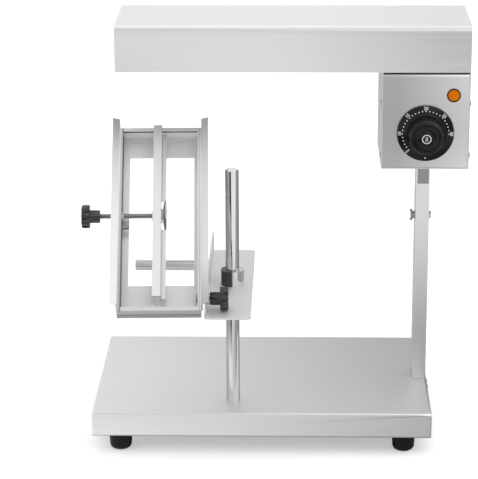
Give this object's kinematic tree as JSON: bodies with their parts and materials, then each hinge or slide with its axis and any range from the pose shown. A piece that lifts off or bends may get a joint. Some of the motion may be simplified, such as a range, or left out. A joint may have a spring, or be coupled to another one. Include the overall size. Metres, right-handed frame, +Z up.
{
  "type": "electric cheese melter",
  "caption": "Countertop half wheel cheese melter: heating head with a dial on a column, and a tilting clamp tray on a carriage that slides and swings on a post.",
  "frame": {"origin": "centre of the bounding box's footprint at rest, on the table surface", "axes": "+X to the right seen from the front, +Y to the back, +Z up"},
  "size_m": [0.4494, 0.336, 0.5011],
  "materials": {
    "sheet_steel": "brushed stainless sheet",
    "polished_steel": "polished round steel",
    "zinc_steel": "plain zinc plated steel",
    "black_plastic": "satin black plastic",
    "black_rubber": "matt black rubber",
    "orange_lens": "clear orange plastic",
    "element_steel": "heat tinted steel tube",
    "copper": "bare copper",
    "ceramic": "glazed ceramic",
    "wire_sleeve": "silicone covered wire"
  },
  "bodies": {
    "stand": {"base_pan": "sheet_steel", "base_floor": "sheet_steel", "feet": "black_rubber", "foot_screws": "zinc_steel", "foot_nuts": "zinc_steel", "post": "polished_steel", "post_bolt": "zinc_steel", "post_washer": "zinc_steel", "column": "sheet_steel", "column_screws": "zinc_steel", "column_nuts": "zinc_steel", "hinge_bolt": "zinc_steel", "hinge_washers": "zinc_steel"},
    "wing_nut": {"wing_nut": "black_plastic"},
    "head": {"head_cover": "sheet_steel", "reflector": "polished_steel", "element_partition": "sheet_steel", "heating_elements": "element_steel", "element_supports": "sheet_steel", "control_box": "sheet_steel", "front_panel": "sheet_steel", "panel_screws": "zinc_steel", "stem": "zinc_steel", "stem_flange": "zinc_steel", "stem_screws": "zinc_steel", "thermostat": "ceramic", "thermostat_screws": "zinc_steel", "sensor_bulb": "copper", "capillary": "copper", "terminal_block": "ceramic", "wiring": "wire_sleeve", "pilot_lamp": "black_plastic", "lamp_lens": "orange_lens", "cord_gland": "black_plastic", "gland_nut": "black_plastic"},
    "dial": {"dial_shaft": "zinc_steel", "dial": "black_plastic", "dial_cap": "black_plastic"},
    "stop_ring": {"stop_ring": "polished_steel"},
    "ring_thumbscrew": {"ring_thumbscrew": "zinc_steel"},
    "carriage": {"carriage_plate": "sheet_steel", "cheek": "sheet_steel", "collar": "polished_steel", "rest_rod": "polished_steel", "tilt_washer": "zinc_steel"},
    "tray": {"tray_pan": "sheet_steel", "left_rail": "sheet_steel", "right_rail": "sheet_steel", "rail_rivets": "zinc_steel", "tilt_bolt": "zinc_steel", "tilt_bush": "polished_steel", "screw_nut": "zinc_steel", "rind_stud": "zinc_steel"},
    "tilt_knob": {"tilt_knob": "black_plastic"},
    "press_bar": {"press_bar": "sheet_steel", "press_pad": "sheet_steel"},
    "press_screw": {"press_screw": "zinc_steel", "screw_clip": "black_plastic", "press_knob": "black_plastic"}
  },
  "joints": [
    {"name": "head_tilt", "type": "hinge", "parent": "stand", "child": "head", "pos_m": [0.17359, 0.0388, 0.257], "axis": [-1, 0, 0], "range_deg": [0, 75]},
    {"name": "wing_nut_turn", "type": "hinge", "parent": "stand", "child": "wing_nut", "pos_m": [0.16359, 0.0388, 0.257], "axis": [1, 0, 0], "range_deg": [-180, 180]},
    {"name": "dial_turn", "type": "hinge", "parent": "head", "child": "dial", "pos_m": [0.17234, -0.0217, 0.3744], "axis": [0, 1, 0], "range_deg": [0, 270]},
    {"name": "carriage_slide", "type": "slide", "parent": "stand", "child": "stop_ring", "axis": [0, 0, 1], "range_m": [-0.12, 0.055]},
    {"name": "thumbscrew_turn", "type": "hinge", "parent": "stop_ring", "child": "ring_thumbscrew", "pos_m": [-0.05141, -0.028, 0.1897], "axis": [0, 1, 0], "range_deg": [-180, 180]},
    {"name": "carriage_swivel", "type": "hinge", "parent": "stop_ring", "child": "carriage", "pos_m": [-0.05141, -0.048, 0.198], "axis": [0, 0, 1], "range_deg": [-90, 60]},
    {"name": "tray_tilt", "type": "hinge", "parent": "carriage", "child": "tray", "pos_m": [-0.07891, -0.142, 0.2121], "axis": [0.9994, 0.0349, 0], "range_deg": [-44, 46]},
    {"name": "tilt_knob_turn", "type": "hinge", "parent": "tray", "child": "tilt_knob", "pos_m": [-0.06992, -0.14169, 0.2121], "axis": [0.9994, 0.0349, 0], "range_deg": [-180, 180]},
    {"name": "press_slide", "type": "slide", "parent": "tray", "child": "press_bar", "axis": [0.9994, 0.0349, 0], "range_m": [-0.03, 0.018]},
    {"name": "press_turn", "type": "hinge", "parent": "press_bar", "child": "press_screw", "pos_m": [-0.20273, -0.06931, 0.28643], "axis": [0.9994, 0.0349, 0], "range_deg": [-10810, 6490]}
  ],
  "couplings": [
    {"joint": "press_turn", "follows": "press_slide", "rad_per_m": 6283.2}
  ]
}
